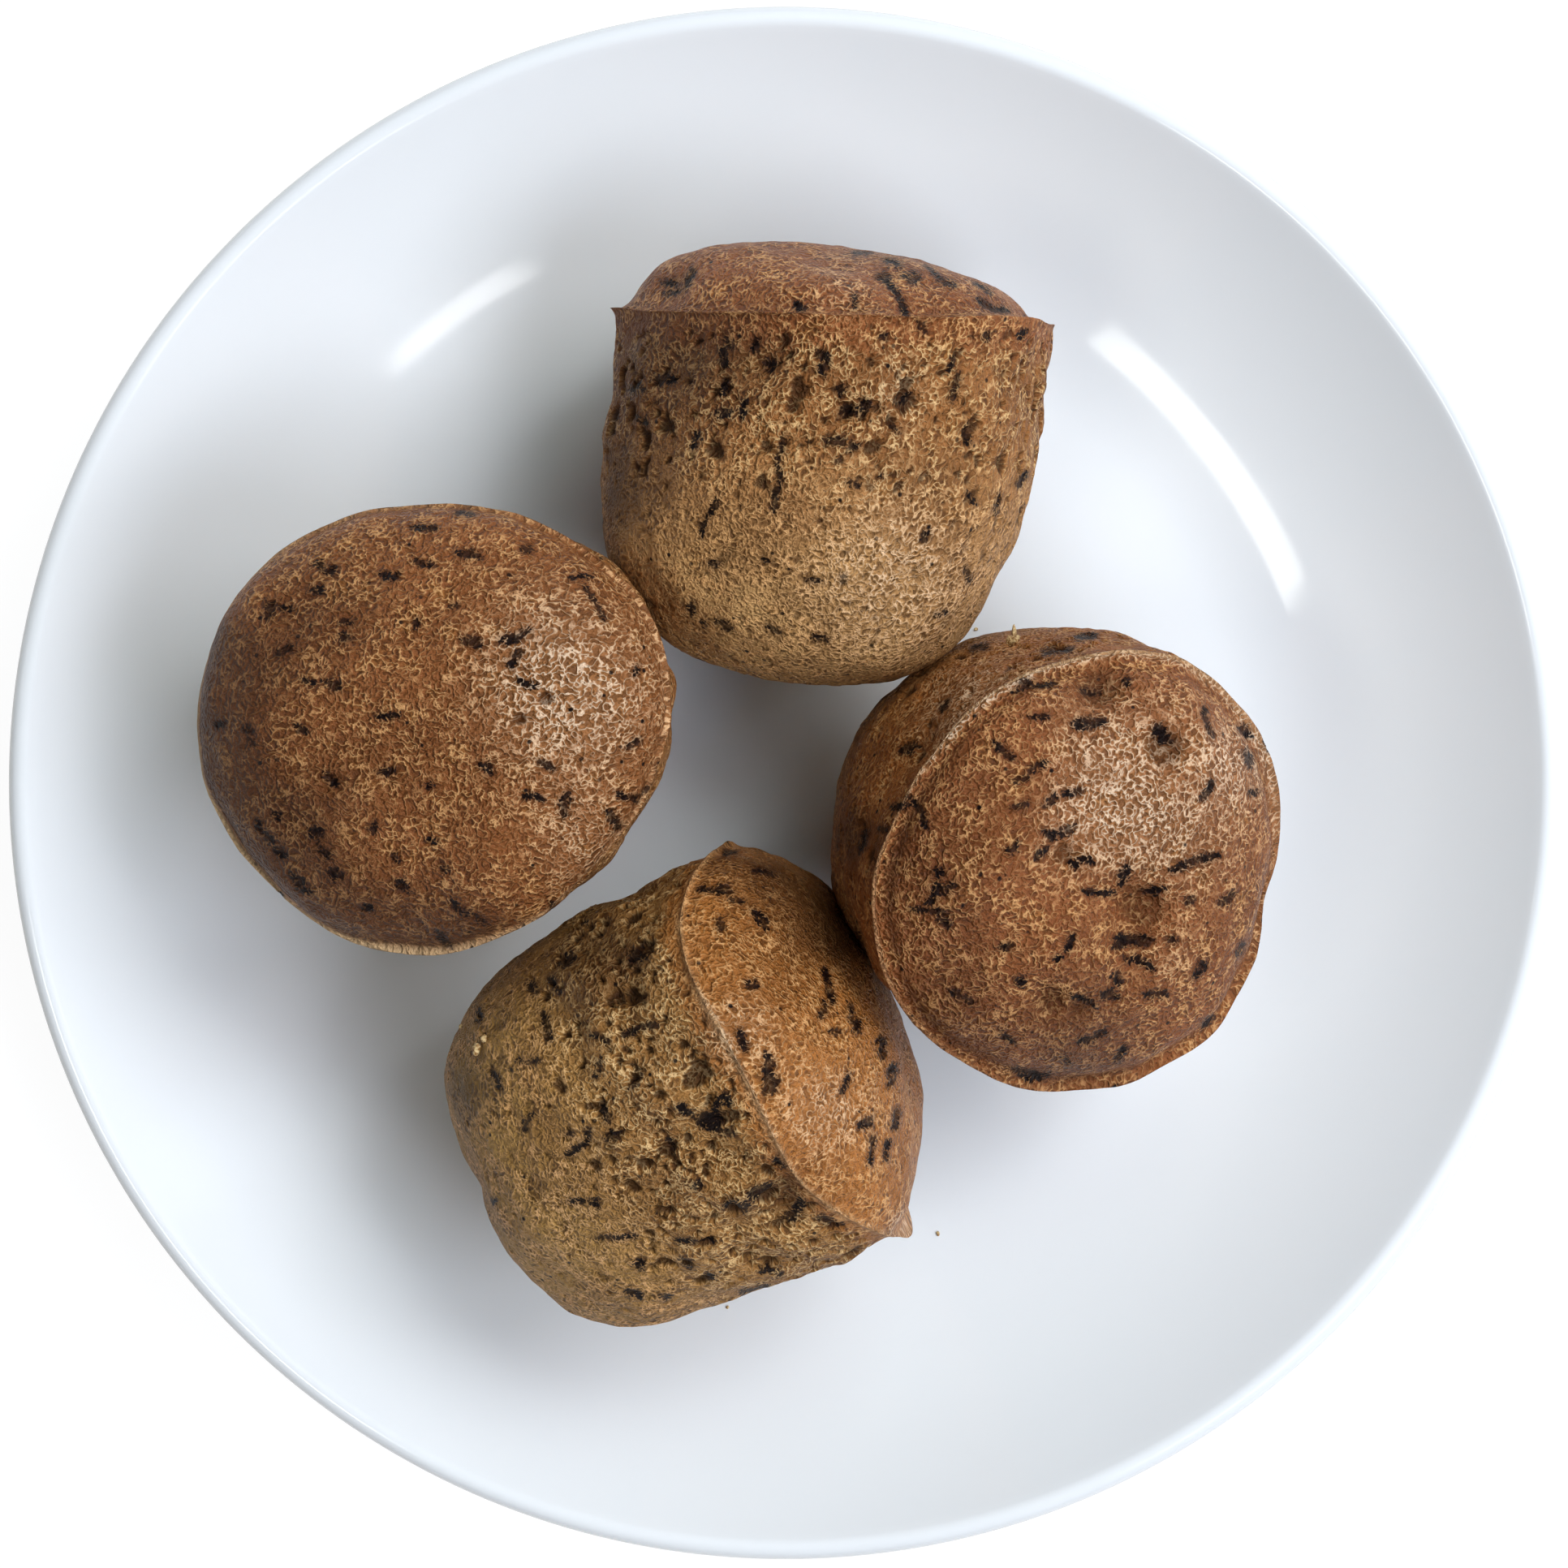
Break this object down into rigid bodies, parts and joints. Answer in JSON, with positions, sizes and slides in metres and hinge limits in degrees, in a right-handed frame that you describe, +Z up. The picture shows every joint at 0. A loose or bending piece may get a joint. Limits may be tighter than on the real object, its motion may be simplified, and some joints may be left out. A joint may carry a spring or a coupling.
{
  "type": "plate of steamed banana cakes",
  "caption": "Small round steamed banana cakes with low domes, dotted with dark banana fibres, lying and standing on a round white coupe plate.",
  "frame": {"origin": "middle of the plate's foot ring, on the surface that it stands on", "axes": "+Z up; seen from above, +X to the right and +Y away from the viewer"},
  "size_m": [0.23, 0.23, 0.0785],
  "materials": {
    "plate_glaze": "smooth white glaze",
    "cake_crumb": "open brown crumb with dark fibres, smoother on the dome"
  },
  "bodies": {
    "root": {"plate": "plate_glaze", "cake_back": "cake_crumb", "cake_left": "cake_crumb", "cake_right": "cake_crumb", "cake_front": "cake_crumb"}
  },
  "joints": []
}
